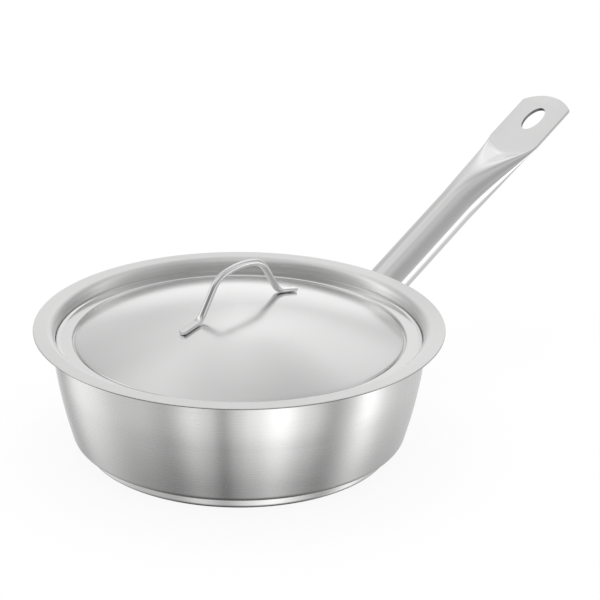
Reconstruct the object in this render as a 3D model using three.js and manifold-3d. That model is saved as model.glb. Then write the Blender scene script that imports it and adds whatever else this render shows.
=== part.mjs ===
// A conical sauté pan with a lid, in stainless steel: a drawn body with a flared pouring lip, a sandwich
// base, a hollow handle whose end is pressed flat to hang by, and a domed lid that drops into the mouth.
// Millimetres, +Z up, +X along the handle, origin on the pan's axis at the surface it stands on.
import * as THREE from 'three';
import { mergeVertices } from 'three/addons/utils/BufferGeometryUtils.js';
import Module from 'manifold-3d';

const wasm = await Module();
wasm.setup();

const { clamp, degToRad, lerp, smoothstep } = THREE.MathUtils;

// Facets, and the clearance between pieces that touch
const turnFacets = 56;
const tubeFacets = 24;
const rodFacets = 12;
const holeFacets = 28;
const lipEdgeFacets = 4;
const tabCornerFacets = 3;
const tabEndFacets = 6;
const plateCornerFacets = 5;
const pressStations = 14;
const archStationCount = 6;
const heelStationCount = 5;
const bendStep = degToRad(30);
const arcStep = 19;
const gap = 0.3;

// Pan body, measured on its outer face
const panHeight = 85;
const panSheet = 1.4;
const rimRadius = 136;
const lipBend = 4.6;
const neckLean = degToRad(3);
const lipReach = 13.7;
const shoulderDrop = 25;
const shoulderBend = 60;
const waistTaper = 5.3;
const waistShare = 0.457;
const waistBend = 300;
const footTaper = 6.6;
const footBend = 5;

// Sandwich base under the body
const baseHeight = 8.4;
const baseInset = 7.6;
const baseRound = 3;
const capSheet = 0.8;

// Handle: a tube that rises from the pan's wall and is pressed flat towards its end
const handleRise = degToRad(26.6);
const rootDrop = 26;
const tubeRadius = 13.7;
const tubeWall = 1.2;
const tubeLength = 113;
const pressLength = 75;
const pressPower = 2.6;
const spreadPower = 1.45;
const scoopSweep = 10.3;
const sweepPower = 1.5;
const scoopSlope = degToRad(21);
const scoopFoot = 22;
const tabLength = 51;
const tabWidth = 43;
const tabEndRadius = 30;
const tabCorner = 3;
const holeLength = 24;
const holeWidth = 13.6;
const holeFromEnd = 25.6;

// Bracket: a saddle plate on the wall, with a spigot that carries the tube
const plateSheet = 2;
const plateWidth = 58;
const plateHeight = 38;
const plateCorner = 13;
const spigotWall = 1.5;
const spigotLength = 18;

// Lid: a turned-down edge, a flat flange, a groove and a dome
const lidSheet = 0.9;
const lidDrop = 8.3;
const lidEdgeDepth = 3;
const lidEdgeBend = 1.8;
const flangeWidth = 10.8;
const grooveWidth = 4.3;
const grooveDepth = 3.3;
const grooveRun = 1.9;
const grooveBend = 1;
const creaseBend = 1.5;
const domeEdgeLift = 0.8;
const domeRise = 22.4;

// Lid handle: a rod bent to a flat-topped arch, with feet beaten flat
const archRise = 26.1;
const crownRadius = 180;
const crownLength = 24.6;
const archBend = 17.5;
const limbFall = degToRad(57.5);
const rodWidth = 4.8;
const rodDepth = 4.4;
const heelBend = 5;
const footSeat = 47;
const footTip = 54.6;
const footWidth = 6.6;
const footDepth = 2.3;
const footClip = 1.2;

// One face of a bent sheet. The line of bends is given as corners (r, z, bend radius); the face runs
// beside it, to its left by the given offset, so that every bend keeps its centre.
function sheetFace(corners, offset) {
  const headings = corners.slice(1).map((corner, i) => {
    return Math.atan2(corner.z - corners[i].z, corner.r - corners[i].r);
  });
  const points = [];
  corners.forEach((corner, i) => {
    const before = headings[Math.max(i - 1, 0)];
    const after = headings[Math.min(i, headings.length - 1)];
    const turn = after - before;
    const middle = (before + after) / 2;
    const mitre = offset / Math.cos(turn / 2);
    const tip = new THREE.Vector2(corner.r - mitre * Math.sin(middle), corner.z + mitre * Math.cos(middle));
    const bend = (corner.bend ?? 0) - Math.sign(turn) * offset;
    if (!corner.bend) {
      points.push(tip);
      return;
    }
    const reach = bend * Math.tan(Math.abs(turn) / 2);
    const side = before + (Math.sign(turn) * Math.PI) / 2;
    const centre = new THREE.Vector2(
      tip.x - reach * Math.cos(before) + bend * Math.cos(side),
      tip.y - reach * Math.sin(before) + bend * Math.sin(side),
    );
    const arcLength = Math.abs(turn) * corner.bend;
    const steps = Math.max(Math.ceil(Math.abs(turn) / bendStep), Math.ceil(arcLength / arcStep));
    for (let k = 0; k <= steps; k++) {
      const angle = side + Math.PI + (turn * k) / steps;
      points.push(new THREE.Vector2(centre.x + bend * Math.cos(angle), centre.y + bend * Math.sin(angle)));
    }
  });
  return points.filter((point, i) => i === 0 || point.distanceTo(points[i - 1]) > 1e-4);
}

// A solid of revolution about Z from a closed outline of (r, z) points.
function revolve(outline, facets = turnFacets) {
  const closed = outline[0].x > 0 ? [...outline, outline[0]] : outline;
  return new THREE.LatheGeometry(closed, facets).rotateX(Math.PI / 2);
}

// A closed skin over rings of points, with a fan over each end.
function loft(rings) {
  const sides = rings[0].length;
  const middle = (ring) => ring.reduce((sum, p) => sum.add(p), new THREE.Vector3()).divideScalar(sides);
  const points = [...rings.flat(), middle(rings[0]), middle(rings.at(-1))];
  const tail = rings.length * sides;
  const lastRing = tail - sides;
  const index = [];
  for (let j = 0; j < sides; j++) {
    const next = (j + 1) % sides;
    for (let i = 0; i < lastRing; i += sides) {
      index.push(i + j, i + next, i + sides + next);
      index.push(i + j, i + sides + next, i + sides + j);
    }
    index.push(tail, next, j);
    index.push(tail + 1, lastRing + j, lastRing + next);
  }
  const geometry = new THREE.BufferGeometry().setFromPoints(points);
  geometry.setIndex(index);
  return geometry;
}

// A ring with two flats and two half-round sides; a round ring where width and depth are equal.
function ovalRing(centre, across, up, width, depth, sides) {
  const half = depth / 2;
  return Array.from({ length: sides }, (_, i) => {
    const angle = ((i + 0.5) * 2 * Math.PI) / sides;
    const flat = (Math.sign(Math.cos(angle)) * (width - depth)) / 2;
    const point = centre.clone().addScaledVector(across, flat + half * Math.cos(angle));
    return point.addScaledVector(up, half * Math.sin(angle));
  });
}

function toSolid(geometry) {
  const bare = geometry.clone();
  bare.deleteAttribute('normal');
  bare.deleteAttribute('uv');
  const merged = mergeVertices(bare);
  const index = merged.index.array;
  const triangles = [];
  for (let i = 0; i < index.length; i += 3) {
    const [a, b, c] = index.slice(i, i + 3);
    if (a !== b && b !== c && c !== a) {
      triangles.push(a, b, c);
    }
  }
  return new wasm.Manifold(new wasm.Mesh({
    numProp: 3,
    vertProperties: new Float32Array(merged.attributes.position.array),
    triVerts: new Uint32Array(triangles),
  }));
}

function toGeometry(solid) {
  const mesh = solid.getMesh();
  const geometry = new THREE.BufferGeometry();
  geometry.setAttribute('position', new THREE.BufferAttribute(mesh.vertProperties, 3));
  geometry.setIndex(new THREE.BufferAttribute(mesh.triVerts, 1));
  return geometry;
}

// The pan's line of bends: flat floor, two-slope wall, upright neck and flat lip
const shoulderRadius = rimRadius - lipReach;
const shoulderHeight = panHeight - shoulderDrop;
const waistRadius = shoulderRadius - waistTaper;
const waistHeight = lerp(baseHeight, shoulderHeight, waistShare);
const footRadius = waistRadius - footTaper;
const baseRadius = footRadius - baseInset;
const lipHeight = panHeight - panSheet;
const neckRadius = (z) => shoulderRadius + (z - shoulderHeight) * Math.tan(neckLean);
const wallCorners = [
  { r: 0, z: baseHeight },
  { r: footRadius, z: baseHeight, bend: footBend },
  { r: waistRadius, z: waistHeight, bend: waistBend },
  { r: shoulderRadius, z: shoulderHeight, bend: shoulderBend },
  { r: neckRadius(lipHeight), z: lipHeight },
];

function panBody() {
  const corners = wallCorners.map((corner) => ({ ...corner }));
  corners.at(-1).bend = lipBend;
  corners.push({ r: rimRadius - panSheet / 2, z: lipHeight });
  const edge = new THREE.EllipseCurve(
    rimRadius - panSheet / 2, panHeight - panSheet / 2, panSheet / 2, panSheet / 2, -Math.PI / 2, Math.PI / 2,
  ).getPoints(lipEdgeFacets).slice(1, -1);
  return revolve([...sheetFace(corners, 0), ...edge, ...sheetFace(corners, panSheet).reverse()]);
}

// Everything inside the pan's wall, grown outwards by a distance.
function insideWall(distance) {
  const face = sheetFace(wallCorners, -distance);
  return toSolid(revolve([...face, new THREE.Vector2(0, face.at(-1).y)]));
}

// The base's outline, shrunk by a distance from its rounded edge and from the floor it stands on.
function baseFace(distance) {
  const corners = [
    { r: 0, z: 0 },
    { r: baseRadius, z: 0, bend: baseRound },
    { r: baseRadius, z: baseHeight - gap },
  ];
  return sheetFace(corners, distance);
}

function baseCap() {
  return revolve([...baseFace(0), ...baseFace(capSheet).reverse()]);
}

function baseCore() {
  return revolve([...baseFace(capSheet + gap), new THREE.Vector2(0, baseHeight - gap)]);
}

// The handle's own axes: along it, across it and out of its upper face
const along = new THREE.Vector3(Math.cos(handleRise), 0, Math.sin(handleRise));
const across = new THREE.Vector3(0, 1, 0);
const upward = new THREE.Vector3().crossVectors(along, across);
const rootHeight = panHeight - rootDrop;
const handleRoot = new THREE.Vector3(shoulderRadius, 0, rootHeight);
const flatStart = tubeLength + pressLength;
const handleLength = flatStart + tabLength;
const handlePoint = (s) => handleRoot.clone().addScaledVector(along, s);
const rootOverlap = 2 * tubeRadius;
const tubeDiameter = 2 * tubeRadius;
const tabDepth = 2 * tubeWall;

// How far the tube is pressed at a distance from the wall, from 0 to 1.
const pressedShare = (s) => clamp((s - tubeLength) / pressLength, 0, 1);

// What the tube loses in depth as it is pressed, it gains in width.
function pressedDepth(s) {
  return lerp(tubeDiameter, tabDepth, pressedShare(s) ** pressPower);
}

function pressedWidth(s) {
  return lerp(tubeDiameter, tabWidth, pressedShare(s) ** spreadPower);
}

// Height of the scoop's face over the tube's middle plane: flat on the tab, then a ramp back up over the tube.
function scoopHeight(s, q) {
  const edgeShare = Math.min(Math.abs(q) / (tabWidth / 2), 1);
  const start = flatStart - scoopSweep * (1 - edgeShare ** sweepPower);
  const ahead = Math.max(start - s, 0);
  const slope = Math.tan(scoopSlope);
  const bend = Math.min(ahead, scoopFoot * slope);
  return tubeWall + bend ** 2 / (2 * scoopFoot) + (ahead - bend) * slope;
}

// A ring of the tube: an oval that turns into two flats with round sides, held under the scoop's face.
function tubeRing(s, width, depth, inset) {
  const squared = smoothstep(s, flatStart - scoopSweep, flatStart);
  return Array.from({ length: tubeFacets }, (_, i) => {
    const angle = ((i + 0.5) * 2 * Math.PI) / tubeFacets;
    const flat = Math.sign(Math.cos(angle)) * (width - depth) + depth * Math.cos(angle);
    const q = lerp(width * Math.cos(angle), flat, squared) / 2;
    const rise = Math.min((depth / 2) * Math.abs(Math.sin(angle)), scoopHeight(s, q) - inset);
    return handlePoint(s)
      .addScaledVector(across, q)
      .addScaledVector(upward, Math.sign(Math.sin(angle)) * rise);
  });
}

// Stations along the tab's rounded end, as distance and half width: the corner, then the end arc.
function tabEnd() {
  const endCentre = handleLength - tabEndRadius;
  const cornerHeight = tabWidth / 2 - tabCorner;
  const cornerCentre = endCentre + Math.sqrt((tabEndRadius - tabCorner) ** 2 - cornerHeight ** 2);
  const meet = Math.atan2(cornerHeight, cornerCentre - endCentre);
  const tip = Math.asin(tabDepth / 2 / tabEndRadius);
  const corner = new THREE.EllipseCurve(
    cornerCentre, cornerHeight, tabCorner, tabCorner, Math.PI / 2, meet, true,
  ).getPoints(tabCornerFacets);
  const arc = new THREE.EllipseCurve(
    endCentre, 0, tabEndRadius, tabEndRadius, meet, tip, true,
  ).getPoints(tabEndFacets).slice(1);
  return [...corner, ...arc];
}

function handleTube() {
  const pressed = Array.from({ length: pressStations + 1 }, (_, i) => {
    return tubeLength + (pressLength * i) / pressStations;
  });
  const outer = [-rootOverlap, ...pressed].map((s) => tubeRing(s, pressedWidth(s), pressedDepth(s), 0));
  outer.push(...tabEnd().map((station) => tubeRing(station.x, 2 * station.y, tabDepth, 0)));
  const hollow = pressed.filter((s) => scoopHeight(s, 0) - tubeWall > 2 * gap);
  const inner = [-2 * rootOverlap, ...hollow].map((s) => {
    return tubeRing(s, pressedWidth(s) - 2 * tubeWall, pressedDepth(s) - 2 * tubeWall, tubeWall);
  });
  const hole = new THREE.Shape().absellipse(0, 0, holeLength / 2, holeWidth / 2, 0, 2 * Math.PI);
  const punch = new THREE.ExtrudeGeometry(hole, {
    depth: tubeDiameter, bevelEnabled: false, curveSegments: holeFacets / 2,
  });
  punch.translate(0, 0, -tubeRadius);
  punch.applyMatrix4(new THREE.Matrix4().makeBasis(along, across, upward).setPosition(
    handlePoint(handleLength - holeFromEnd),
  ));
  const solid = toSolid(loft(outer))
    .subtract(toSolid(loft(inner)))
    .subtract(toSolid(punch))
    .subtract(insideWall(2 * gap + plateSheet));
  return toGeometry(solid);
}

function handleBracket() {
  const halfWidth = plateWidth / 2;
  const outline = new THREE.Shape();
  const halfHeight = plateHeight / 2;
  outline.absarc(halfWidth - plateCorner, halfHeight - plateCorner, plateCorner, 0, Math.PI / 2);
  outline.absarc(plateCorner - halfWidth, halfHeight - plateCorner, plateCorner, Math.PI / 2, Math.PI);
  outline.absarc(plateCorner - halfWidth, plateCorner - halfHeight, plateCorner, Math.PI, 1.5 * Math.PI);
  outline.absarc(halfWidth - plateCorner, plateCorner - halfHeight, plateCorner, 1.5 * Math.PI, 2 * Math.PI);
  const window = new THREE.ExtrudeGeometry(outline, {
    depth: rimRadius, bevelEnabled: false, curveSegments: plateCornerFacets,
  });
  const up = new THREE.Vector3(0, 0, 1);
  const out = new THREE.Vector3(1, 0, 0);
  window.applyMatrix4(new THREE.Matrix4().makeBasis(across, up, out));
  window.translate(0, 0, rootHeight - (tubeRadius + gap) * (1 / Math.cos(handleRise) - 1));
  const spigotRadius = tubeRadius - tubeWall - gap;
  const spigot = revolve([
    new THREE.Vector2(spigotRadius, -rootOverlap),
    new THREE.Vector2(spigotRadius, spigotLength),
    new THREE.Vector2(spigotRadius - spigotWall, spigotLength),
    new THREE.Vector2(spigotRadius - spigotWall, -rootOverlap),
  ], tubeFacets);
  spigot.applyMatrix4(new THREE.Matrix4().makeBasis(across, upward, along).setPosition(handleRoot));
  const solid = toSolid(window)
    .intersect(insideWall(gap + plateSheet))
    .add(toSolid(spigot))
    .subtract(insideWall(gap));
  return toGeometry(solid);
}

// The lid drops in until its edge meets the neck, which narrows downwards
const flangeHeight = panHeight - lidDrop;
const lidSeatHeight = flangeHeight - lidEdgeDepth;
const neckInside = neckRadius(lidSeatHeight) - panSheet / Math.cos(neckLean);
const lidRadius = neckInside - gap;
const flangeRadius = lidRadius - flangeWidth;
const domeEdge = flangeRadius - grooveWidth;
const domeRadius = (domeEdge ** 2 + domeRise ** 2) / (2 * domeRise);
const domeSlope = Math.asin(domeEdge / domeRadius);
const domeTop = flangeHeight + domeEdgeLift + domeRise;

function lidDisc() {
  const domeReach = domeRadius * Math.tan(domeSlope / 2);
  const crease = domeReach + creaseBend;
  const creaseRadius = domeReach + crease * Math.cos(domeSlope);
  const creaseHeight = domeTop - crease * Math.sin(domeSlope);
  const corners = [
    { r: 0, z: domeTop },
    { r: domeReach, z: domeTop, bend: domeRadius },
    { r: creaseRadius, z: creaseHeight, bend: creaseBend },
    { r: flangeRadius - grooveRun, z: flangeHeight - grooveDepth, bend: grooveBend },
    { r: flangeRadius, z: flangeHeight, bend: creaseBend },
    { r: lidRadius, z: flangeHeight, bend: lidEdgeBend },
    { r: lidRadius, z: lidSeatHeight },
  ];
  return revolve([...sheetFace(corners, -lidSheet), ...sheetFace(corners, 0).reverse()]);
}

// Stations along half of the lid handle, from its top to the tip of one foot. Each has its fall below level
// and its flatness, from 0 on the rod to 1 on the foot.
function archStations() {
  const top = domeTop + archRise;
  const crownFall = Math.asin(crownLength / 2 / crownRadius);
  const crownEnd = top - crownRadius * (1 - Math.cos(crownFall));
  const stations = [{ x: 0, z: top, fall: 0, flat: 0 }];
  for (let i = 0; i <= archStationCount; i++) {
    const fall = lerp(crownFall, limbFall, i / archStationCount);
    stations.push({
      x: crownLength / 2 + archBend * (Math.sin(fall) - Math.sin(crownFall)),
      z: crownEnd - archBend * (Math.cos(crownFall) - Math.cos(fall)),
      fall,
      flat: 0,
    });
  }
  const limb = stations.at(-1);
  const seatFall = Math.asin(footSeat / domeRadius);
  const seatRadius = domeRadius + gap + footDepth / 2;
  const seatX = seatRadius * Math.sin(seatFall);
  const seatZ = domeTop - domeRadius + seatRadius * Math.cos(seatFall);
  const turn = limbFall - seatFall;
  const drop = (limb.z - seatZ) * Math.cos(seatFall) - (seatX - limb.x) * Math.sin(seatFall);
  const limbLength = drop / Math.sin(turn) - heelBend * Math.tan(turn / 2);
  const heelX = limb.x + limbLength * Math.cos(limbFall) + heelBend * Math.sin(limbFall);
  const heelZ = limb.z - limbLength * Math.sin(limbFall) + heelBend * Math.cos(limbFall);
  for (let i = 0; i <= heelStationCount; i++) {
    const fall = lerp(limbFall, seatFall, i / heelStationCount);
    stations.push({
      x: heelX - heelBend * Math.sin(fall),
      z: heelZ - heelBend * Math.cos(fall),
      fall,
      flat: smoothstep(i, 0, heelStationCount),
    });
  }
  for (const [x, clip] of [[footTip - footClip, 0], [footTip, footClip]]) {
    stations.push({ x, z: seatZ - (x - seatX) * Math.tan(seatFall), fall: seatFall, flat: 1, clip });
  }
  return stations;
}

function lidHandle() {
  const half = archStations();
  const mirrored = half.slice(1).reverse().map((station) => {
    return { ...station, x: -station.x, fall: -station.fall };
  });
  const rings = [...mirrored, ...half].map(({ x, z, fall, flat, clip = 0 }) => {
    const up = new THREE.Vector3(Math.sin(fall), 0, Math.cos(fall));
    const width = lerp(rodWidth, footWidth, flat) - 2 * clip;
    const depth = lerp(rodDepth, footDepth, flat);
    return ovalRing(new THREE.Vector3(x, 0, z), across, up, width, depth, rodFacets);
  });
  return loft(rings);
}

const pan = new THREE.Group();

function addPiece(name, geometry, color, roughness) {
  const material = new THREE.MeshStandardMaterial({ color, roughness, metalness: 1 });
  const piece = new THREE.Mesh(geometry, material);
  piece.name = name;
  pan.add(piece);
}

addPiece('pan_body', panBody(), 0xc9cacb, 0.3);
addPiece('base_core', baseCore(), 0xb4b6b8, 0.45);
addPiece('base_cap', baseCap(), 0xb7b8b9, 0.32);
addPiece('handle_bracket', handleBracket(), 0xbcbdbe, 0.35);
addPiece('handle_tube', handleTube(), 0xc4c5c6, 0.2);
addPiece('lid_disc', lidDisc(), 0xd2d3d4, 0.26);
addPiece('lid_handle', lidHandle(), 0xcfd0d1, 0.16);

export default pan;
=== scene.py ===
"""A lidded sauté pan in stainless steel: its pieces, finishes and studio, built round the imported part."""

import math

import bmesh
import bpy
from bpy.props import FloatProperty, FloatVectorProperty, IntProperty, PointerProperty
from mathutils import Matrix, Vector


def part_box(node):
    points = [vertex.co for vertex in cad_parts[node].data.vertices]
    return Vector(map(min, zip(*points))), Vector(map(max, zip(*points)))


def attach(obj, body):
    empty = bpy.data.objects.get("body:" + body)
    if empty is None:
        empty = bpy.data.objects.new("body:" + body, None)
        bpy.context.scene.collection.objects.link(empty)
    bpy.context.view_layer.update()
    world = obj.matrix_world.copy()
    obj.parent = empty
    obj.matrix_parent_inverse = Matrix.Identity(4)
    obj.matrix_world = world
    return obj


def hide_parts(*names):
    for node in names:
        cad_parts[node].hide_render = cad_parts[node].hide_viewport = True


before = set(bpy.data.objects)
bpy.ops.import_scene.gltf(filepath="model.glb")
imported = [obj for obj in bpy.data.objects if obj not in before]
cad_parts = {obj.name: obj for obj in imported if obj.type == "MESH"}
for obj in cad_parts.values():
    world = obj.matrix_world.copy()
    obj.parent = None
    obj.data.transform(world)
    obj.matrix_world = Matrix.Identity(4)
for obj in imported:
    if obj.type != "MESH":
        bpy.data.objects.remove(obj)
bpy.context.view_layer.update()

bl_info = {
    "name": "Lidded saute pan",
    "version": (1, 0, 0),
    "blender": (4, 5, 0),
    "location": "View3D > Sidebar > Saute pan",
    "description": "Models a conical saute pan with its lid and handles, in brushed and polished steel",
    "category": "Add Mesh",
}


# Gap left between welded pieces
WELD_GAP = 0.0003

# Way that the camera faces, turned about the Z axis
CAMERA_HEADING = math.radians(-48)


# Properties


def length(name, description, default):
    """A size in metres."""
    return FloatProperty(
        name=name, description=description, default=default, min=0, precision=5, unit="LENGTH"
    )


def angle(name, description, degrees):
    """An angle, given in degrees."""
    return FloatProperty(name=name, description=description, default=math.radians(degrees), unit="ROTATION")


def share(name, description, default):
    """A value from 0 to 1."""
    return FloatProperty(
        name=name, description=description, default=default, min=0, max=1, subtype="FACTOR"
    )


def power(name, description, default):
    """An exponent of 1 or more."""
    return FloatProperty(name=name, description=description, default=default, min=1)


def colour(name, description, default):
    """A linear colour."""
    return FloatVectorProperty(
        name=name, description=description, default=default, min=0, max=1, subtype="COLOR"
    )


class PanSizes(bpy.types.PropertyGroup):
    """Sizes of the pan's body and of its sandwich base"""

    rim_radius: length("Rim radius", "Outer radius of the flared lip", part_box("pan_body")[1].x)
    height: length("Height", "Height of the lip above the floor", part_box("pan_body")[1].z)
    sheet: length("Sheet", "Thickness of the drawn body", 0.0016)
    lip_reach: length("Lip reach", "How far the lip stands out from the shoulder", 0.0137)
    lip_bend: length("Lip bend", "Radius of the bend under the lip", 0.0038)
    lip_droop: angle("Lip droop", "Fall of the lip towards its edge", 1)
    lip_edge: length("Lip edge", "Thickness of the lip at its edge", 0.0009)
    neck_lean: angle("Neck lean", "Outward lean of the neck", 3)
    shoulder_drop: length("Shoulder drop", "Shoulder's depth below the lip", 0.025)
    shoulder_bend: length("Shoulder bend", "Radius of the bend at the shoulder", 0.15)
    waist_taper: length("Waist taper", "How far the wall draws in from shoulder to waist", 0.0053)
    waist_share: share("Waist share", "Waist's height as a share of the wall below the shoulder", 0.457)
    waist_bend: length("Waist bend", "Radius of the bend at the waist", 0.3)
    foot_taper: length("Foot taper", "How far the wall draws in from waist to foot", 0.0066)
    foot_bend: length("Foot bend", "Radius of the bend at the foot", 0.005)
    base_height: length("Base height", "Height of the body's floor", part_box("pan_body")[0].z)
    base_radius: length("Base radius", "Outer radius of the base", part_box("base_cap")[1].x)
    base_top: length("Base top", "Height of the base cap's edge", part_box("base_cap")[1].z)
    base_round: length("Base round", "Radius of the base's lower edge", 0.003)
    cap_sheet: length("Cap sheet", "Thickness of the base cap", 0.0008)
    turn_steps: IntProperty(
        name="Turn steps", description="Steps round a turned piece", default=192, min=32
    )

    @property
    def shoulder_radius(self):
        return self.rim_radius - self.lip_reach

    @property
    def shoulder_height(self):
        return self.height - self.shoulder_drop

    @property
    def lip_height(self):
        return self.height - self.sheet

    def neck_radius(self, z):
        return self.shoulder_radius + (z - self.shoulder_height) * math.tan(self.neck_lean)

    def wall_corners(self):
        """Line of bends of the body's outer face, from the middle of its floor up to the lip's bend."""
        waist_radius = self.shoulder_radius - self.waist_taper
        waist_height = self.base_height + self.waist_share * (self.shoulder_height - self.base_height)
        return [
            (0, self.base_height, 0),
            (waist_radius - self.foot_taper, self.base_height, self.foot_bend),
            (waist_radius, waist_height, self.waist_bend),
            (self.shoulder_radius, self.shoulder_height, self.shoulder_bend),
            (self.neck_radius(self.lip_height), self.lip_height, self.lip_bend),
        ]


class LidSizes(bpy.types.PropertyGroup):
    """Sizes of the lid"""

    radius: length("Radius", "Outer radius of the lid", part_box("lid_disc")[1].x)
    seat_height: length("Seat height", "Height of the turned-down edge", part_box("lid_disc")[0].z)
    top: length("Top", "Height of the dome's top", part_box("lid_disc")[1].z)
    sheet: length("Sheet", "Thickness of the lid", 0.0009)
    edge_depth: length("Edge depth", "Depth of the turned-down edge", 0.003)
    edge_bend: length("Edge bend", "Radius of the bend at the edge", 0.001)
    flange_width: length("Flange width", "Width of the flat flange", 0.0107)
    bead_width: length("Bead width", "Width of the raised bead at the edge", 0.0028)
    bead_lift: length("Bead lift", "Height of the bead above the flange", 0.0007)
    bead_bend: length("Bead bend", "Radius of the bend at the bead's foot", 0.002)
    crease_bend: length("Crease bend", "Radius of the creases beside the groove", 0.0011)
    groove_depth: length("Groove depth", "Depth of the groove below the flange", 0.0036)
    groove_bend: length("Groove bend", "Radius of the groove's floor", 0.0004)
    dome_radius: length("Dome radius", "Radius of the dome's crown", 0.228)
    crown_edge: length("Crown edge", "Distance from the middle at which the dome gets flatter", 0.0552)
    flank_radius: length("Flank radius", "Radius of the dome's curve beyond the crown", 0.5)
    dome_edge: length("Dome edge", "Distance of the dome's edge from the lid's middle", 0.1081)
    skirt_fall: angle("Skirt fall", "Fall of the groove's side below the dome", 80)

    @property
    def flange_height(self):
        return self.seat_height + self.edge_depth

    @property
    def flange_radius(self):
        return self.radius - self.flange_width

    def corners(self):
        """Line of bends of the lid's upper face, from its middle to its edge."""
        crown_slope = math.asin(self.crown_edge / self.dome_radius)
        slope = math.asin(math.sin(crown_slope) + (self.dome_edge - self.crown_edge) / self.flank_radius)
        crown_reach = self.dome_radius * math.tan(crown_slope / 2)
        flank_reach = self.flank_radius * math.tan((slope - crown_slope) / 2)
        run = crown_reach + flank_reach
        flank_corner = (crown_reach + run * math.cos(crown_slope), self.top - run * math.sin(crown_slope))
        run = flank_reach + self.crease_bend * math.tan((self.skirt_fall - slope) / 2)
        dome_corner = (flank_corner[0] + run * math.cos(slope), flank_corner[1] - run * math.sin(slope))
        groove_height = self.flange_height - self.groove_depth
        groove_radius = dome_corner[0] + (dome_corner[1] - groove_height) / math.tan(self.skirt_fall)
        return [
            (0, self.top, 0),
            (crown_reach, self.top, self.dome_radius),
            (*flank_corner, self.flank_radius),
            (*dome_corner, self.crease_bend),
            (groove_radius, groove_height, self.groove_bend),
            (self.flange_radius, self.flange_height, self.crease_bend),
            (self.radius - self.bead_width, self.flange_height, self.bead_bend),
            (self.radius, self.flange_height + self.bead_lift, self.edge_bend),
            (self.radius, self.seat_height, 0),
        ]


class LongHandleSizes(bpy.types.PropertyGroup):
    """Sizes of the long handle and of its bracket"""

    rise: angle("Rise", "Rise of the handle above level", 26.6)
    root_drop: length("Root drop", "Root's depth below the lip", 0.026)
    tube_radius: length("Tube radius", "Outer radius of the tube", 0.0137)
    tube_wall: length("Tube wall", "Wall of the tube", 0.0012)
    tube_length: length("Tube length", "Length of the round stretch", 0.113)
    press_length: length("Press length", "Length of the stretch that is pressed", 0.075)
    tab_length: length("Tab length", "Length of the flat tab beyond it", 0.051)
    tab_width: length("Tab width", "Width of the flat tab", 0.043)
    tab_end_radius: length("Tab end radius", "Radius of the tab's end", 0.03)
    tab_corner: length("Tab corner", "Radius of the tab's corners", 0.003)
    scoop_sweep: length("Scoop sweep", "How much earlier the scoop is flat on its middle line", 0.0103)
    sweep_power: power("Sweep power", "How square the scoop's end is", 1.5)
    scoop_slope: angle("Scoop slope", "Slope of the scoop's ramp", 21)
    scoop_foot: length("Scoop foot", "Radius at the foot of the scoop's ramp", 0.022)
    scoop_edge: share("Scoop edge", "Softness of the fold round the scoop, as a share of its height", 0.55)
    press_power: power("Press power", "How late the tube is pressed", 2.6)
    spread_power: power("Spread power", "How late the tube spreads", 1.45)
    hole_length: length("Hole length", "Length of the hanging hole", 0.024)
    hole_width: length("Hole width", "Width of the hanging hole", 0.0136)
    hole_from_end: length("Hole from end", "Distance of the hole's middle from the tab's end", 0.0256)
    plate_sheet: length("Plate sheet", "Thickness of the saddle plate", 0.002)
    plate_width: length("Plate width", "Width of the saddle plate", 0.058)
    plate_height: length("Plate height", "Height of the saddle plate", 0.038)
    plate_corner: length("Plate corner", "Radius of the saddle plate's corners", 0.013)
    weld_radius: length("Weld radius", "Radius of the weld round the tube's root", 0.0012)
    spot_radius: length("Spot radius", "Radius of the electrode that left the spot welds", 0.009)
    spot_depth: length("Spot depth", "Depth of the spot welds", 0.0003)

    def axes(self, pan):
        """The handle's root, and its directions along, across and out of its upper face."""
        root = Vector((pan.shoulder_radius, 0, pan.height - self.root_drop))
        along = Vector((math.cos(self.rise), 0, math.sin(self.rise)))
        across = Vector((0, 1, 0))
        return root, along, across, along.cross(across)


class LidHandleSizes(bpy.types.PropertyGroup):
    """Sizes of the lid's handle"""

    rise: length("Rise", "Height of the rod's middle line above the dome", 0.0267)
    crown_radius: length("Crown radius", "Radius of the crown", 0.058)
    crown_length: length("Crown length", "Length of the crown", 0.03)
    arch_bend: length("Arch bend", "Radius of the bends beside the crown", 0.017)
    limb_fall: angle("Limb fall", "Fall of the straight limbs", 57)
    rod_width: length("Rod width", "Width of the rod", 0.0048)
    rod_depth: length("Rod depth", "Depth of the rod", 0.0044)
    heel_bend: length("Heel bend", "Radius of the bends above the feet", 0.01)
    foot_seat: length("Foot seat", "Distance of the feet from the lid's middle", 0.047)
    foot_tip: length("Foot tip", "Distance of the feet's tips from the lid's middle", 0.0546)
    foot_width: length("Foot width", "Width of the feet", 0.0066)
    foot_depth: length("Foot depth", "Thickness of the feet", 0.0023)
    foot_clip: length("Foot clip", "Size of the feet's clipped corners", 0.0012)


class SteelFinish(bpy.types.PropertyGroup):
    """Colours and finish of the steel"""

    wall_colour: colour("Wall colour", "Brushed steel of the body", (0.8, 0.8, 0.795))
    # Painted shade: how much darker the wall's foot is painted than its shoulder, for the shadowed floor
    # near the pan that it reflects.
    foot_painted_shade: share("Foot share", "How bright the wall's foot is beside its shoulder", 0.69)
    lid_colour: colour("Lid colour", "Circular brushed steel of the lid", (0.8, 0.8, 0.797))
    handle_colour: colour("Handle colour", "Polished steel of the handles", (0.8, 0.8, 0.797))
    base_colour: colour("Base colour", "Turned steel of the base", (0.66, 0.66, 0.655))
    core_colour: colour("Core colour", "Aluminium inside the base", (0.6, 0.61, 0.62))
    # Painted shade: a dark colour for the lip's edge and the hanging hole's wall, standing in for the shade
    # there.
    edge_shade_colour: colour("Edge shade colour", "Painted shade for the lip's edge and the hanging hole's wall", (0.2, 0.2, 0.2))


# Drawing and turning


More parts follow.
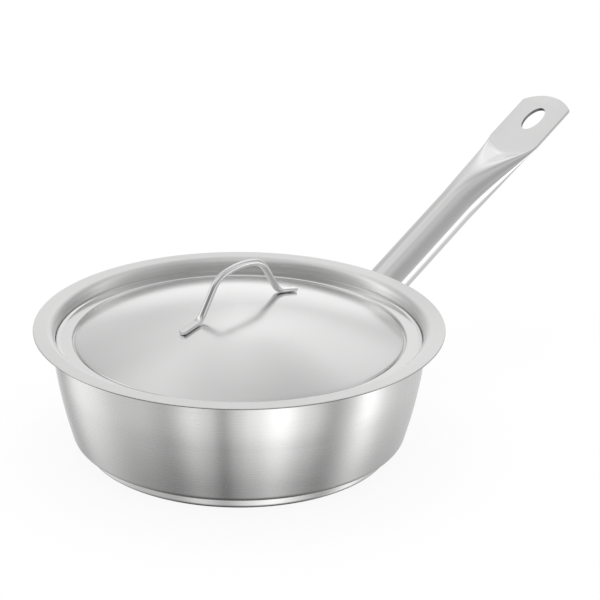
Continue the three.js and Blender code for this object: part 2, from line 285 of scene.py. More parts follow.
def bent_line(corners, offset=0.0, fine=math.radians(7), run=0.004):
    """Points along a face of a bent sheet. Corners are (r, z, bend radius); the face runs to their left by
    the offset, so that every bend keeps its centre. Straight runs get a point close to each end."""
    headings = [math.atan2(b[1] - a[1], b[0] - a[0]) for a, b in zip(corners, corners[1:])]
    stretches = []
    for i, (r, z, bend) in enumerate(corners):
        before = headings[max(i - 1, 0)]
        after = headings[min(i, len(headings) - 1)]
        turn = after - before
        middle = (before + after) / 2
        mitre = offset / math.cos(turn / 2)
        tip = Vector((r - mitre * math.sin(middle), z + mitre * math.cos(middle)))
        if not bend:
            stretches.append([tip])
            continue
        radius = bend - math.copysign(offset, turn * offset)
        reach = radius * math.tan(abs(turn) / 2)
        side = before + math.copysign(math.pi / 2, turn)
        centre = tip - reach * Vector((math.cos(before), math.sin(before)))
        centre += radius * Vector((math.cos(side), math.sin(side)))
        steps = max(2, math.ceil(abs(turn) / fine), math.ceil(abs(turn) * radius / run))
        turns = [side + math.pi + turn * k / steps for k in range(steps + 1)]
        stretches.append([centre + radius * Vector((math.cos(t), math.sin(t))) for t in turns])
    points = list(stretches[0])
    support = 0.0006
    for stretch in stretches[1:]:
        start, end = points[-1], stretch[0]
        gap = (end - start).length
        if gap > 4 * support:
            along = (end - start).normalized()
            points += [start + support * along, end - support * along]
        points += stretch
    return [p for i, p in enumerate(points) if i == 0 or (p - points[i - 1]).length > 1e-6]


def half_round(start, end, steps=8):
    """Points of a half circle from start to end, bulging to the right of the way between them."""
    middle = (start + end) / 2
    reach = start - middle
    return [
        middle + Matrix.Rotation(math.pi * k / steps, 2) @ reach
        for k in range(1, steps)
    ]


def start_fresh():
    """Object mode with nothing selected."""
    if bpy.context.object and bpy.context.object.mode != "OBJECT":
        bpy.ops.object.mode_set(mode="OBJECT")
    bpy.ops.object.select_all(action="DESELECT")


def take(obj):
    """Makes an object the only selected and active one."""
    start_fresh()
    obj.select_set(True)
    bpy.context.view_layer.objects.active = obj
    return obj


def named(name):
    """Gives the active object and its mesh a name."""
    obj = bpy.context.object
    obj.name = name
    obj.data.name = name
    return obj


def turned(name, points, steps):
    """A piece turned on the Z axis from a chain of (r, z) points, drawn by extruding a vertex."""
    start_fresh()
    bpy.ops.mesh.primitive_plane_add(size=0.001)
    obj = named(name)
    bpy.ops.object.mode_set(mode="EDIT")
    bpy.ops.mesh.select_mode(type="VERT")
    bpy.ops.mesh.merge(type="CENTER")
    bpy.ops.transform.translate(value=(points[0].x, 0, points[0].y))
    for a, b in zip(points, points[1:]):
        bpy.ops.mesh.extrude_vertices_move(TRANSFORM_OT_translate={"value": (b.x - a.x, 0, b.y - a.y)})
    bpy.ops.mesh.select_all(action="SELECT")
    bpy.ops.mesh.spin(steps=steps, angle=2 * math.pi, center=(0, 0, 0), axis=(0, 0, 1))
    bpy.ops.mesh.select_all(action="SELECT")
    bpy.ops.mesh.remove_doubles(threshold=1e-6)
    bpy.ops.mesh.normals_make_consistent(inside=False)
    bpy.ops.object.mode_set(mode="OBJECT")
    return obj


def lofted(name, rings):
    """A closed piece whose skin runs over rings of points: a filled circle, extruded from ring to ring."""
    start_fresh()
    bpy.ops.mesh.primitive_circle_add(vertices=len(rings[0]), radius=0.001, fill_type="NGON")
    obj = named(name)
    bpy.ops.object.mode_set(mode="EDIT")
    bpy.ops.mesh.select_mode(type="VERT")
    mesh = bmesh.from_edit_mesh(obj.data)
    place = mesh.verts.layers.int.new("place")
    for i, vert in enumerate(mesh.verts):
        vert[place] = i
        vert.co = rings[0][i]
    bmesh.update_edit_mesh(obj.data)
    for ring in rings[1:]:
        bpy.ops.mesh.extrude_region_move()
        mesh = bmesh.from_edit_mesh(obj.data)
        place = mesh.verts.layers.int["place"]
        for vert in mesh.verts:
            if vert.select:
                vert.co = ring[vert[place]]
        bmesh.update_edit_mesh(obj.data)
    bpy.ops.mesh.select_all(action="SELECT")
    bpy.ops.mesh.normals_make_consistent(inside=False)
    mesh = bmesh.from_edit_mesh(obj.data)
    mesh.verts.layers.int.remove(mesh.verts.layers.int["place"])
    bmesh.update_edit_mesh(obj.data)
    bpy.ops.object.mode_set(mode="OBJECT")
    return obj


def cut(obj, tool, operation="DIFFERENCE"):
    """Applies a boolean between a piece and a tool, and removes the tool."""
    take(obj)
    boolean = obj.modifiers.new("Cut", "BOOLEAN")
    boolean.object = tool
    boolean.operation = operation
    boolean.solver = "EXACT"
    bpy.ops.object.modifier_apply(modifier=boolean.name)
    bpy.data.objects.remove(tool)


def wall_face(pan, grow):
    """Points of the body's outer face without its lip, moved outwards."""
    return bent_line(pan.wall_corners()[:-1] + [(pan.neck_radius(pan.height), pan.height, 0)], -grow)


def wall_core(pan, grow):
    """All that lies inside the pan's outer face, grown outwards."""
    face = wall_face(pan, grow)
    return turned("wall_core", face + [Vector((0, face[-1].y))], pan.turn_steps)


def wall_radius(face, z):
    """Radius of a face at a height."""
    for a, b in zip(face, face[1:]):
        if a.y <= z < b.y:
            return a.x + (b.x - a.x) * (z - a.y) / (b.y - a.y)
    raise ValueError(f"the wall has no height {z}")


def smooth(obj, degrees=35):
    """Smooth shading, kept sharp over edges steeper than the angle."""
    take(obj)
    bpy.ops.object.shade_smooth_by_angle(angle=math.radians(degrees))


def finish_piece(obj, material, body, slot, *nodes):
    """Gives a piece its material and body, and hides the nodes that it stands for; the slot argument is not
    used.
    """
    obj.data.materials.clear()
    obj.data.materials.append(material)
    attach(obj, body)
    if nodes:
        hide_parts(*nodes)


def smoothstep(value, start, end):
    """A smooth rise from 0 at start to 1 at end."""
    t = min(max((value - start) / (end - start), 0), 1)
    return t * t * (3 - 2 * t)


# Steel


class Nodes:
    """A material's node tree, with short calls to add and link nodes."""

    def __init__(self, material):
        material.use_nodes = True
        self.tree = material.node_tree
        self.tree.nodes.clear()

    def add(self, kind, inputs=None, **settings):
        node = self.tree.nodes.new(kind)
        for name, value in settings.items():
            setattr(node, name, value)
        for key, value in (inputs or {}).items():
            self.put(node, key, value)
        return node

    def put(self, node, key, value):
        if isinstance(value, bpy.types.NodeSocket):
            self.tree.links.new(value, node.inputs[key])
        else:
            node.inputs[key].default_value = value

    def maths(self, operation, *values):
        node = self.add("ShaderNodeMath", operation=operation)
        for i, value in enumerate(values):
            self.put(node, i, value)
        return node.outputs[0]

    def vector(self, operation, *values):
        node = self.add("ShaderNodeVectorMath", operation=operation)
        for i, value in enumerate(values):
            self.put(node, i, value)
        return node.outputs["Value" if operation in ("LENGTH", "DOT_PRODUCT") else "Vector"]

    def place(self):
        return self.add("ShaderNodeTexCoord").outputs["Object"]

    def noise(self, vector, scale, detail, roughness=0.55):
        node = self.add(
            "ShaderNodeTexNoise",
            {"Vector": vector, "Scale": scale, "Detail": detail, "Roughness": roughness},
        )
        return node.outputs["Fac"]

    def spread(self, value, low, high, start=0.0, end=1.0):
        node = self.add(
            "ShaderNodeMapRange",
            {"Value": value, "From Min": start, "From Max": end, "To Min": low, "To Max": high},
        )
        return node.outputs[0]

    def scaled(self, colour, factor):
        """A colour, multiplied by a factor."""
        return self.add("ShaderNodeVectorMath", {0: colour, "Scale": factor}, operation="SCALE").outputs[0]

    def tint(self, value, base, low, high):
        """The base colour, multiplied by a factor between low and high."""
        return self.scaled(base, self.spread(value, low, high))

    def relief(self, height, strength, depth):
        """The face's normal, with fine marks of a depth in it."""
        inputs = {"Strength": strength, "Distance": depth, "Height": height}
        return self.add("ShaderNodeBump", inputs).outputs[0]

    def mix(self, factor, first, second):
        """A level between two levels."""
        return self.add("ShaderNodeMix", {0: factor, 2: first, 3: second}, data_type="FLOAT").outputs[0]


def turned_coordinates(nodes, around, along):
    """Coordinates for marks round the Z axis: stretched round it, and fine along the turned profile."""
    place = nodes.place()
    flat = nodes.vector("MULTIPLY", place, (1, 1, 0))
    radius = nodes.vector("LENGTH", flat)
    direction = nodes.vector("NORMALIZE", flat)
    height = nodes.add("ShaderNodeSeparateXYZ", {0: place}).outputs["Z"]
    profile = nodes.maths("MULTIPLY", nodes.maths("ADD", radius, height), along)
    round_part = nodes.vector("MULTIPLY", direction, (around, around, 0))
    up_part = nodes.add("ShaderNodeCombineXYZ", {"Z": profile}).outputs[0]
    return nodes.vector("ADD", round_part, up_part)


def turned_steel(
    name, base, roughness, anisotropy, streak=0.08, fine=2600, bump=0.12, polished_from=None, foot=None
):
    """Steel brushed round the Z axis, with streaks that follow the turn. From a radius outwards it can be
    polished, and a foot (brightness, height that it fades out at) gets painted shade, darker towards the
    bottom, for the shadowed floor that the wall reflects."""
    material = bpy.data.materials.new(name)
    nodes = Nodes(material)
    marks = nodes.noise(turned_coordinates(nodes, 5, fine), 1, 3, 0.65)
    bands = nodes.noise(turned_coordinates(nodes, 2, fine / 14), 1, 2)
    mixed = nodes.maths("ADD", nodes.maths("MULTIPLY", marks, 0.7), nodes.maths("MULTIPLY", bands, 0.3))
    tangent = nodes.add("ShaderNodeTangent", direction_type="RADIAL", axis="Z").outputs[0]
    rough = nodes.spread(mixed, roughness * 0.8, roughness * 1.2)
    if polished_from:
        polish_blend = 0.0015
        polish_roughness = 0.09
        polish_anisotropy = 0.1
        radius = nodes.vector("LENGTH", nodes.vector("MULTIPLY", nodes.place(), (1, 1, 0)))
        bright = nodes.spread(radius, 0, 1, polished_from - polish_blend, polished_from)
        rough = nodes.mix(bright, rough, polish_roughness)
        anisotropy = nodes.spread(bright, anisotropy, polish_anisotropy)
    tinted = nodes.tint(mixed, base, 1 - streak, 1 + streak / 2)
    # Painted shade: the colour darkens towards the wall's foot, standing in for the shadowed floor near the
    # pan that the lower wall reflects.
    if foot:
        height = nodes.add("ShaderNodeSeparateXYZ", {0: nodes.place()}).outputs["Z"]
        tinted = nodes.scaled(tinted, nodes.spread(height, foot[0], 1, 0, foot[1]))
    shader = nodes.add(
        "ShaderNodeBsdfPrincipled",
        {
            "Base Color": tinted,
            "Metallic": 1.0,
            "Roughness": rough,
            "Anisotropic": anisotropy,
            "Anisotropic Rotation": 0.25,
            "Tangent": tangent,
            "Normal": nodes.relief(marks, bump, 0.00004),
        },
    )
    nodes.add("ShaderNodeOutputMaterial", {"Surface": shader.outputs[0]})
    return material


def drawn_steel(name, base, roughness, rise, streak=0.05, bump=0.08):
    """Steel polished along a rod or tube that rises in the X Z plane, with fine marks along it."""
    material = bpy.data.materials.new(name)
    nodes = Nodes(material)
    place = nodes.place()
    along = nodes.add("ShaderNodeMapping", {"Vector": place, "Rotation": (0, rise, 0)}).outputs[0]
    stretched = nodes.vector("MULTIPLY", along, (30, 1500, 1500))
    marks = nodes.noise(stretched, 1, 3, 0.6)
    cloud = nodes.noise(place, 60, 2)
    mixed = nodes.maths("ADD", nodes.maths("MULTIPLY", marks, 0.7), nodes.maths("MULTIPLY", cloud, 0.3))
    shader = nodes.add(
        "ShaderNodeBsdfPrincipled",
        {
            "Base Color": nodes.tint(mixed, base, 1 - streak, 1 + streak / 2),
            "Metallic": 1.0,
            "Roughness": nodes.spread(mixed, roughness * 0.75, roughness * 1.25),
            "Normal": nodes.relief(marks, bump, 0.00003),
        },
    )
    nodes.add("ShaderNodeOutputMaterial", {"Surface": shader.outputs[0]})
    return material


# Pieces


class PAN_OT_body(bpy.types.Operator):
    """Turn the pan's body: floor, wall, neck and flared lip"""

    bl_idname = "mesh.saute_body"
    bl_label = "Pan body"

    def execute(self, context):
        pan = context.scene.saute_pan
        corners = pan.wall_corners()
        lip_end = pan.rim_radius - pan.lip_edge / 2
        fall = (lip_end - pan.neck_radius(pan.lip_height)) * math.tan(pan.lip_droop)
        outer = bent_line(corners + [(lip_end, pan.height - pan.lip_edge - fall, 0)])
        inner = bent_line(corners + [(lip_end, pan.lip_height - fall, 0)], pan.sheet)[::-1]
        edge = half_round(outer[-1], inner[0])
        body = turned("pan_body_steel", outer + edge + inner, pan.turn_steps)
        smooth(body)
        steel = context.scene.saute_steel
        # The brushed wall steel gets painted shade at its foot, darker towards the bottom.
        brushed = turned_steel(
            "brushed wall steel", steel.wall_colour, roughness=0.27, anisotropy=0.95, streak=0.05, fine=1500,
            bump=0.02, foot=(steel.foot_painted_shade, pan.shoulder_height),
        )
        satin = turned_steel(
            "satin steel", steel.wall_colour, roughness=0.33, anisotropy=0.85, streak=0.03, fine=2000,
            bump=0.02,
        )
        # Painted shade: the lip's edge is coloured dark to stand in for the thin shadow line under the lip;
        # its roughness is that of a sheared edge.
        painted_edge_shade = turned_steel("lip edge painted shade", steel.edge_shade_colour, roughness=0.4, anisotropy=0)
        finish_piece(body, brushed, "pan", "pan_steel", "pan_body")
        body.data.materials.append(satin)
        body.data.materials.append(painted_edge_shade)
        for face in body.data.polygons:
            inward = face.normal.xy.dot(face.center.xy) < 0
            upward = face.normal.z > 0.5
            # Faces round the lip's edge get the painted shade.
            at_edge = face.center.xy.length > lip_end and face.normal.z < 0.2
            if at_edge:
                face.material_index = 2
            else:
                face.material_index = 1 if inward or upward else 0
        return {"FINISHED"}


class PAN_OT_base(bpy.types.Operator):
    """Turn the sandwich base's cap and finish the core inside it"""

    bl_idname = "mesh.saute_base"
    bl_label = "Sandwich base"

    def execute(self, context):
        pan = context.scene.saute_pan
        steel = context.scene.saute_steel
        corners = [(0, 0, 0), (pan.base_radius, 0, pan.base_round), (pan.base_radius, pan.base_top, 0)]
        outer = bent_line(corners)
        inner = bent_line(corners, pan.cap_sheet)[::-1]
        base = turned("base_cap_steel", outer + half_round(outer[-1], inner[0], 6) + inner, pan.turn_steps)
        smooth(base)
        material = turned_steel(
            "turned base steel", steel.base_colour, roughness=0.3, anisotropy=0.5, fine=1500
        )
        finish_piece(base, material, "pan", "base_steel", "base_cap")
        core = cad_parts["base_core"]
        core.data.materials.clear()
        plain = turned_steel("core aluminium", steel.core_colour, roughness=0.5, anisotropy=0.3)
        core.data.materials.append(plain)
        return {"FINISHED"}


class PAN_OT_lid(bpy.types.Operator):
    """Turn the lid: turned-down edge, flange, groove and dome"""

    bl_idname = "mesh.saute_lid"
    bl_label = "Lid"

    def execute(self, context):
        lid = context.scene.saute_lid
        pan = context.scene.saute_pan
        outer = bent_line(lid.corners())
        inner = bent_line(lid.corners(), -lid.sheet)[::-1]
        disc = turned("lid_disc_steel", outer + inner, pan.turn_steps)
        smooth(disc)
        steel = context.scene.saute_steel
        material = turned_steel(
            "circular brushed lid steel", steel.lid_colour, roughness=0.16, anisotropy=0.8, streak=0.03,
            fine=1800, bump=0.02, polished_from=lid.flange_radius,
        )
        finish_piece(disc, material, "lid", "lid_steel", "lid_disc")
        return {"FINISHED"}


def oval_ring(centre, across, up, half_width, half_depth, sides):
    """A ring with two flats and two half-round sides; a round ring where both halves are equal."""
    ring = []
    for i in range(sides):
        turn = (i + 0.5) * 2 * math.pi / sides
        flat = math.copysign(half_width - half_depth, math.cos(turn))
        q = flat + half_depth * math.cos(turn)
        ring.append(centre + across * q + up * (half_depth * math.sin(turn)))
    return ring


def soft_least(a, b, reach):
    """The lesser of two values, rounded where they come within reach of each other."""
    h = max(reach - abs(a - b), 0) / reach
    return min(a, b) - h * h * reach / 4


class PAN_OT_long_handle(bpy.types.Operator):
    """Press a tube flat into a tab and pierce its hanging hole"""

    bl_idname = "mesh.saute_long_handle"
    bl_label = "Long handle"

    def execute(self, context):
        pan = context.scene.saute_pan
        size = context.scene.saute_long_handle
        root, along, across, up = size.axes(pan)
        sides = 96
        flat_start = size.tube_length + size.press_length
        total = flat_start + size.tab_length
        half_tab = size.tab_width / 2

        def pressed(s):
            return min(max((s - size.tube_length) / size.press_length, 0), 1)

        def half_width(s):
            return size.tube_radius + (half_tab - size.tube_radius) * pressed(s) ** size.spread_power

        def scoop(s, q):
            edge_share = min(abs(q) / half_tab, 1)
            start = flat_start - size.scoop_sweep * (1 - edge_share**size.sweep_power)
            ahead = max(start - s, 0)
            slope = math.tan(size.scoop_slope)
            bend = min(ahead, size.scoop_foot * slope)
            return size.tube_wall + bend**2 / (2 * size.scoop_foot) + (ahead - bend) * slope

        def ring(s, width):
            depth = size.tube_radius + (size.tube_wall - size.tube_radius) * pressed(s) ** size.press_power
            squared = smoothstep(s, flat_start - size.scoop_sweep, flat_start)
            points = []
            for i in range(sides):
                turn = (i + 0.5) * 2 * math.pi / sides
                rounded = width * math.cos(turn)
                flat = math.copysign(width - depth, math.cos(turn)) + depth * math.cos(turn)
                q = rounded + (flat - rounded) * squared
                n = depth * math.sin(turn)
                roof = scoop(s, q)
                soft = max((roof - size.tube_wall) * size.scoop_edge, 1e-9)
                n = math.copysign(soft_least(abs(n), roof, soft), n)
                points.append(root + along * s + across * q + up * n)
            return points

        root_overlap = 0.028
        first_station = 0.05
        end_margin = 0.012
        press_steps = 100
        tab_steps = 16
        corner_steps = 8
        end_steps = 24
        stations = [(-root_overlap, size.tube_radius), (first_station, size.tube_radius)]
        for i in range(press_steps + 1):
            s = size.tube_length + size.press_length * i / press_steps
            stations.append((s, half_width(s)))
        end_centre = total - size.tab_end_radius
        corner_height = half_tab - size.tab_corner
        for i in range(1, tab_steps):
            stations.append((flat_start + (size.tab_length - end_margin) * i / tab_steps, half_tab))
        corner_reach = math.sqrt((size.tab_end_radius - size.tab_corner) ** 2 - corner_height**2)
        meet = math.atan2(corner_height, corner_reach)
        for k in range(corner_steps + 1):
            turn = math.pi / 2 + (meet - math.pi / 2) * k / corner_steps
            s = end_centre + corner_reach + size.tab_corner * math.cos(turn)
            stations.append((s, corner_height + size.tab_corner * math.sin(turn)))
        tip = math.asin(size.tube_wall / size.tab_end_radius)
        for k in range(1, end_steps + 1):
            turn = meet + (tip - meet) * k / end_steps
            s = end_centre + size.tab_end_radius * math.cos(turn)
            stations.append((s, size.tab_end_radius * math.sin(turn)))
        tube = lofted("long_handle_steel", [ring(s, width) for s, width in stations])

        hole_middle = total - size.hole_from_end
        bpy.ops.mesh.primitive_cylinder_add(
            vertices=96, radius=size.hole_width / 2, depth=0.02, location=root + along * hole_middle,
            rotation=(0, -size.rise, 0),
        )
        punch = named("hole_punch")
        punch.scale = (size.hole_length / size.hole_width, 1, 1)
        bpy.ops.object.transform_apply(location=True, rotation=True, scale=True)
        cut(tube, punch)
        cut(tube, wall_core(pan, 2 * WELD_GAP + size.plate_sheet))
        smooth(tube, 40)
        steel = context.scene.saute_steel
        polished = drawn_steel("polished handle steel", steel.handle_colour, roughness=0.1, rise=size.rise)
        # Painted shade: the hanging hole's wall is coloured dark to stand in for the shade inside the hole;
        # its roughness is that of a sheared edge.
        painted_edge_shade = drawn_steel("hole edge painted shade", steel.edge_shade_colour, roughness=0.4, rise=size.rise)
        finish_piece(tube, polished, "pan", "handle_steel", "handle_tube")
        tube.data.materials.append(painted_edge_shade)
        for face in tube.data.polygons:
            place = face.center - root
            length_share = 2 * (place.dot(along) - hole_middle) / size.hole_length
            width_share = 2 * place.dot(across) / size.hole_width
            # The hole's upright wall gets the painted shade.
            at_hole = math.hypot(length_share, width_share) < 1.02
            upright = abs(face.normal.dot(up)) < 0.5
            face.material_index = 1 if at_hole and upright else 0
        return {"FINISHED"}


class PAN_OT_bracket(bpy.types.Operator):
    """Press the saddle plate that carries the long handle"""

    bl_idname = "mesh.saute_bracket"
    bl_label = "Handle bracket"

    def execute(self, context):
        pan = context.scene.saute_pan
        size = context.scene.saute_long_handle
        root, along, across, up = size.axes(pan)
        drop = (size.tube_radius + WELD_GAP) * (1 / math.cos(size.rise) - 1)
        middle = root - Vector((0, 0, drop))
        block_depth = 0.1
        start_fresh()
        bpy.ops.mesh.primitive_cube_add(size=1, location=middle)
        plate = named("handle_bracket_steel")
        plate.scale = (block_depth, size.plate_width, size.plate_height)
        bpy.ops.object.transform_apply(location=True, rotation=True, scale=True)
        bpy.ops.object.mode_set(mode="EDIT")
        bpy.ops.mesh.select_all(action="DESELECT")
        bpy.ops.mesh.select_mode(type="EDGE")
        mesh = bmesh.from_edit_mesh(plate.data)
        for edge in mesh.edges:
            ends = edge.verts[1].co - edge.verts[0].co
            edge.select_set(abs(ends.x) > block_depth / 2)
        bmesh.update_edit_mesh(plate.data)
        bpy.ops.mesh.bevel(offset=size.plate_corner, segments=16)
        bpy.ops.object.mode_set(mode="OBJECT")
        cut(plate, wall_core(pan, WELD_GAP + size.plate_sheet), "INTERSECT")
        cut(plate, wall_core(pan, WELD_GAP))
        take(plate)
        rounding = plate.modifiers.new("Rounding", "BEVEL")
        rounding.width = size.plate_sheet / 3
        rounding.segments = 4
        rounding.angle_limit = math.radians(50)
        bpy.ops.object.modifier_apply(modifier=rounding.name)

        face = wall_face(pan, WELD_GAP + size.plate_sheet)
        spot_across = 0.37 * size.plate_width
        spot_up = 0.24 * size.plate_height
        for side in (-1, 1):
            for level in (-1, 1):
                y = side * spot_across
                z = middle.z + level * spot_up
                flat = math.sqrt(wall_radius(face, z) ** 2 - y**2)
                lift = 1 + (size.spot_radius - size.spot_depth) / wall_radius(face, z)
                bpy.ops.mesh.primitive_uv_sphere_add(
                    segments=48, ring_count=32, radius=size.spot_radius, location=(flat * lift, y * lift, z)
                )
                cut(plate, named("electrode"))

        ripple_count = 46
        ripple_height = 0.12
        bpy.ops.mesh.primitive_torus_add(
            major_segments=160, minor_segments=14, major_radius=1, minor_radius=0.25
        )
        weld = named("root_weld")
        for vert in weld.data.vertices:
            turn = math.atan2(vert.co.y, vert.co.x)
            roll = math.atan2(vert.co.z, math.hypot(vert.co.x, vert.co.y) - 1)
            outward = across * math.cos(turn) + up * math.sin(turn)
            near, far = -0.02, 0.03
            for _ in range(40):
                s = (near + far) / 2
                spot = root + outward * size.tube_radius + along * s
                if math.hypot(spot.x, spot.y) < wall_radius(face, spot.z):
                    near = s
                else:
                    far = s
            reach = size.weld_radius * (1 + ripple_height * math.sin(ripple_count * turn))
            vert.co = spot + reach * (outward * math.cos(roll) + along * math.sin(roll))
        take(plate)
        weld.select_set(True)
        bpy.ops.object.join()
        smooth(plate, 40)
        steel = context.scene.saute_steel
        material = drawn_steel("satin bracket steel", steel.handle_colour, roughness=0.24, rise=size.rise)
        finish_piece(plate, material, "pan", "bracket_steel", "handle_bracket")
        return {"FINISHED"}


class PAN_OT_lid_handle(bpy.types.Operator):
    """Bend a rod into the lid's handle and beat its feet flat"""

    bl_idname = "mesh.saute_lid_handle"
    bl_label = "Lid handle"

    def execute(self, context):
        lid = context.scene.saute_lid
        size = context.scene.saute_lid_handle
        top = lid.top + size.rise
        crown_fall = math.asin(size.crown_length / 2 / size.crown_radius)
        crown_end = top - size.crown_radius * (1 - math.cos(crown_fall))
        crown_steps = 4
        arch_steps = 16
        limb_steps = 4
        heel_steps = 12
        half = [(0.0, top, 0.0, 0.0, 0.0)]
        for i in range(1, crown_steps + 1):
            fall = crown_fall * i / crown_steps
            x = size.crown_radius * math.sin(fall)
            half.append((x, top - size.crown_radius * (1 - math.cos(fall)), fall, 0, 0))
        for i in range(1, arch_steps + 1):
            fall = crown_fall + (size.limb_fall - crown_fall) * i / arch_steps
            x = size.crown_length / 2 + size.arch_bend * (math.sin(fall) - math.sin(crown_fall))
            z = crown_end - size.arch_bend * (math.cos(crown_fall) - math.cos(fall))
            half.append((x, z, fall, 0, 0))
        limb_x, limb_z = half[-1][:2]
        seat_fall = math.asin(size.foot_seat / lid.dome_radius)
        seat_radius = lid.dome_radius + WELD_GAP + size.foot_depth / 2
        seat_x = seat_radius * math.sin(seat_fall)
        seat_z = lid.top - lid.dome_radius + seat_radius * math.cos(seat_fall)
        turn = size.limb_fall - seat_fall
        drop = (limb_z - seat_z) * math.cos(seat_fall) - (seat_x - limb_x) * math.sin(seat_fall)
        limb = drop / math.sin(turn) - size.heel_bend * math.tan(turn / 2)
        heel_x = limb_x + limb * math.cos(size.limb_fall) + size.heel_bend * math.sin(size.limb_fall)
        heel_z = limb_z - limb * math.sin(size.limb_fall) + size.heel_bend * math.cos(size.limb_fall)
        for i in range(1, limb_steps):
            share_down = i / limb_steps
            x = limb_x + share_down * limb * math.cos(size.limb_fall)
            half.append((x, limb_z - share_down * limb * math.sin(size.limb_fall), size.limb_fall, 0, 0))
        for i in range(heel_steps + 1):
            fall = size.limb_fall + (seat_fall - size.limb_fall) * i / heel_steps
            x = heel_x - size.heel_bend * math.sin(fall)
            flat = smoothstep(i, 0, heel_steps)
            half.append((x, heel_z - size.heel_bend * math.cos(fall), fall, flat, 0))
        for x, clip in ((size.foot_tip - size.foot_clip, 0), (size.foot_tip, size.foot_clip)):
            half.append((x, seat_z - (x - seat_x) * math.tan(seat_fall), seat_fall, 1, clip))
        mirrored = [(-x, z, -fall, flat, clip) for x, z, fall, flat, clip in reversed(half[1:])]
        across = Vector((0, 1, 0))
        rings = []
        for x, z, fall, flat, clip in mirrored + half:
            up = Vector((math.sin(fall), 0, math.cos(fall)))
            width = size.rod_width + (size.foot_width - size.rod_width) * flat - 2 * clip
            depth = size.rod_depth + (size.foot_depth - size.rod_depth) * flat
            rings.append(oval_ring(Vector((x, 0, z)), across, up, width / 2, depth / 2, 32))
        rod = lofted("lid_handle_steel", rings)
        smooth(rod, 40)
        steel = context.scene.saute_steel
        material = drawn_steel("polished rod steel", steel.handle_colour, roughness=0.07, rise=0)
        finish_piece(rod, material, "lid", "lid_handle_steel", "lid_handle")
        return {"FINISHED"}


# Stage


def fill_ramp(node, levels):
    """Sets a ramp's stops from positions and grey levels, the first at 0 and the last at 1."""
    elements = node.color_ramp.elements
    positions = sorted(levels)
    for position in positions[1:-1]:
        elements.new(position)
    for stop, position in zip(elements, positions):
        stop.position = position
        stop.color = (levels[position], levels[position], levels[position], 1)


def studio_world(scene):
    """A white studio: white to the camera, and to metal a ring of pale panels with grey gaps between."""
    world = bpy.data.worlds.new("white studio")
    scene.world = world
    nodes = Nodes(world)
    toward = nodes.add("ShaderNodeTexCoord").outputs["Generated"]
    back_turn = (0, 0, -CAMERA_HEADING)
    faced = nodes.add("ShaderNodeMapping", {"Vector": toward, "Rotation": back_turn}).outputs[0]
    parts = nodes.add("ShaderNodeSeparateXYZ", {0: faced}).outputs
    turn = nodes.maths("ARCTAN2", parts["X"], nodes.maths("MULTIPLY", parts["Y"], -1))
    rise = nodes.maths("ARCSINE", parts["Z"])
    round_share = nodes.spread(turn, 0, 1, -math.pi, math.pi)

    def ring(levels):
        """Grey round the horizon, from degrees to the right of the camera's side."""
        ramp = nodes.add("ShaderNodeValToRGB", {"Fac": round_share})
        ramp.color_ramp.interpolation = "EASE"
        fill_ramp(ramp, {(degrees + 180) / 360: level / 2 for degrees, level in levels.items()})
        return nodes.maths("MULTIPLY", ramp.outputs[0], 2)

    def eased(value, start, end, low, high):
        """A smooth change of level while a value goes from start to end."""
        node = nodes.add(
            "ShaderNodeMapRange",
            {"Value": value, "From Min": start, "From Max": end, "To Min": low, "To Max": high},
            interpolation_type="SMOOTHSTEP",
        )
        return node.outputs[0]

    def fade(start, end, low=0.0, high=1.0):
        """A smooth change between two elevations in degrees."""
        return eased(rise, math.radians(start), math.radians(end), low, high)

    def glow(azimuth, elevation, radius, level):
        """A round soft panel, or a soft dark patch where its level is below 0."""
        a, e = math.radians(azimuth), math.radians(elevation)
        middle = (math.cos(e) * math.sin(a), -math.cos(e) * math.cos(a), math.sin(e))
        return eased(nodes.vector("DOT_PRODUCT", faced, middle), math.cos(math.radians(radius)), 1, 0, level)

    table = ring({
        -180: 0.98, -168: 0.86, -154: 0.6, -145: 0.36, -138: 0.42, -122: 0.9, -99: 0.78, -82: 0.6, -64: 0.6,
        -46: 0.45, -28: 0.95, -18: 0.76, -9: 0.36, 0: 0.76, 9: 1.04, 28: 1.5, 46: 0.86, 64: 0.34, 73: 0.54,
        90: 1.42, 107: 0.72, 118: 0.58, 139: 0.58, 154: 0.58, 168: 0.64, 180: 0.84,
    })
    table = nodes.maths("MULTIPLY", table, fade(-68, -24, 0.25, 1.3))
    table = nodes.maths("MULTIPLY", table, fade(-82, -57, 0.1, 1))
    room = ring({
        -180: 0.9, -163: 0.74, -150: 0.6, -138: 0.48, -120: 0.7, -100: 1.3, -80: 0.6, -55: 0.3, 0: 0.24,
        45: 0.34, 72: 0.48, 84: 0.6, 100: 0.95, 118: 0.5, 138: 0.4, 150: 0.6, 160: 0.72, 172: 0.84, 180: 0.9,
    })
    front = ring({-180: 0, -75: 0, -50: 0.5, 50: 0.5, 75: 0, 180: 0})
    front = nodes.maths("MULTIPLY", front, fade(13, 20, 1, 0))
    room = nodes.maths("ADD", room, front)
    room = nodes.mix(fade(35, 75), room, 0.62)
    level = nodes.mix(fade(-15, -3), table, room)
    for panel in (
        glow(180, -4, 26, 0.2),
        glow(162, 42, 26, 0.2),
        glow(-165, 45, 22, 0.08),
        glow(-140, 66, 30, 0.2),
        glow(172, 62, 22, -0.2),
        glow(0, 58, 30, 0.25),
    ):
        level = nodes.maths("ADD", level, panel)
    path = nodes.add("ShaderNodeLightPath").outputs
    strength = nodes.mix(path["Is Glossy Ray"], 1.0, level)
    back = nodes.add("ShaderNodeBackground", {"Color": (1, 1, 1, 1), "Strength": strength}).outputs[0]
    nodes.add("ShaderNodeOutputWorld", {"Surface": back})


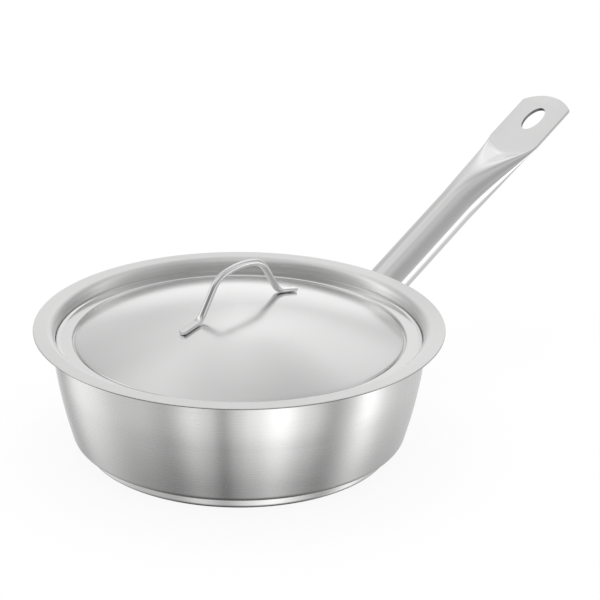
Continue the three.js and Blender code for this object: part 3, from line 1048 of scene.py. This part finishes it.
class PAN_OT_stage(bpy.types.Operator):
    """Set the floor, light and camera"""

    bl_idname = "scene.saute_stage"
    bl_label = "Studio"

    def execute(self, context):
        scene = context.scene
        start_fresh()
        bpy.ops.mesh.primitive_plane_add(size=12, location=(0, 0, -0.0002))
        floor = named("floor")
        floor.visible_glossy = False
        material = bpy.data.materials.new("white floor")
        nodes = Nodes(material)
        white = nodes.add("ShaderNodeEmission", {"Color": (1, 1, 1, 1), "Strength": 1.0}).outputs[0]
        paper = nodes.add("ShaderNodeBsdfDiffuse", {"Color": (0.9, 0.9, 0.9, 1)}).outputs[0]
        surface = nodes.add("ShaderNodeMixShader", {0: 0.1, 1: white, 2: paper}).outputs[0]
        nodes.add("ShaderNodeOutputMaterial", {"Surface": surface})
        floor.data.materials.append(material)

        studio_world(scene)

        lamp = bpy.data.lights.new("overhead softbox", "AREA")
        lamp.shape = "RECTANGLE"
        lamp.size = 1.6
        lamp.size_y = 1.2
        lamp.energy = 8
        softbox = bpy.data.objects.new("overhead softbox", lamp)
        softbox.location = (0.2, 0.3, 1.8)
        softbox.visible_glossy = False
        scene.collection.objects.link(softbox)

        camera_data = bpy.data.cameras.new("photo camera")
        camera_data.lens = 156
        camera_data.sensor_width = 36
        camera_data.clip_end = 50
        camera = bpy.data.objects.new("photo camera", camera_data)
        elevation = 0.37996
        roll = -0.01212
        turn = Matrix.Rotation(CAMERA_HEADING, 3, "Z")
        level_right = Vector((1, 0, 0))
        level_up = Vector((0, math.sin(elevation), math.cos(elevation)))
        right = turn @ (math.cos(roll) * level_right - math.sin(roll) * level_up)
        upward = turn @ (math.sin(roll) * level_right + math.cos(roll) * level_up)
        back = right.cross(upward)
        pose = Matrix((right, upward, back)).transposed().to_4x4()
        pose.translation = Vector((-1.1543, -1.0928, 0.7374))
        camera.matrix_world = pose
        scene.collection.objects.link(camera)
        scene.camera = camera
        scene.view_settings.view_transform = "Standard"
        return {"FINISHED"}


class PAN_PT_sidebar(bpy.types.Panel):
    """Lists the pan's operators and sizes"""

    bl_idname = "PAN_PT_sidebar"
    bl_label = "Saute pan"
    bl_space_type = "VIEW_3D"
    bl_region_type = "UI"
    bl_category = "Saute pan"

    def draw(self, context):
        for operator in OPERATORS:
            self.layout.operator(operator.bl_idname)
        for attribute in GROUPS:
            box = self.layout.box()
            group = getattr(context.scene, attribute)
            box.label(text=group.bl_rna.description)
            for name in group.__annotations__:
                box.prop(group, name)


GROUPS = {
    "saute_pan": PanSizes,
    "saute_lid": LidSizes,
    "saute_long_handle": LongHandleSizes,
    "saute_lid_handle": LidHandleSizes,
    "saute_steel": SteelFinish,
}
OPERATORS = (
    PAN_OT_body,
    PAN_OT_base,
    PAN_OT_bracket,
    PAN_OT_long_handle,
    PAN_OT_lid,
    PAN_OT_lid_handle,
    PAN_OT_stage,
)


def register():
    for made in (*GROUPS.values(), *OPERATORS, PAN_PT_sidebar):
        bpy.utils.register_class(made)
    for attribute, group in GROUPS.items():
        setattr(bpy.types.Scene, attribute, PointerProperty(type=group))


def unregister():
    for attribute in GROUPS:
        delattr(bpy.types.Scene, attribute)
    for made in reversed((*GROUPS.values(), *OPERATORS, PAN_PT_sidebar)):
        bpy.utils.unregister_class(made)


def main():
    register()
    bpy.ops.mesh.saute_body()
    bpy.ops.mesh.saute_base()
    bpy.ops.mesh.saute_bracket()
    bpy.ops.mesh.saute_long_handle()
    bpy.ops.mesh.saute_lid()
    bpy.ops.mesh.saute_lid_handle()
    bpy.ops.scene.saute_stage()


if __name__ == "__main__":
    main()
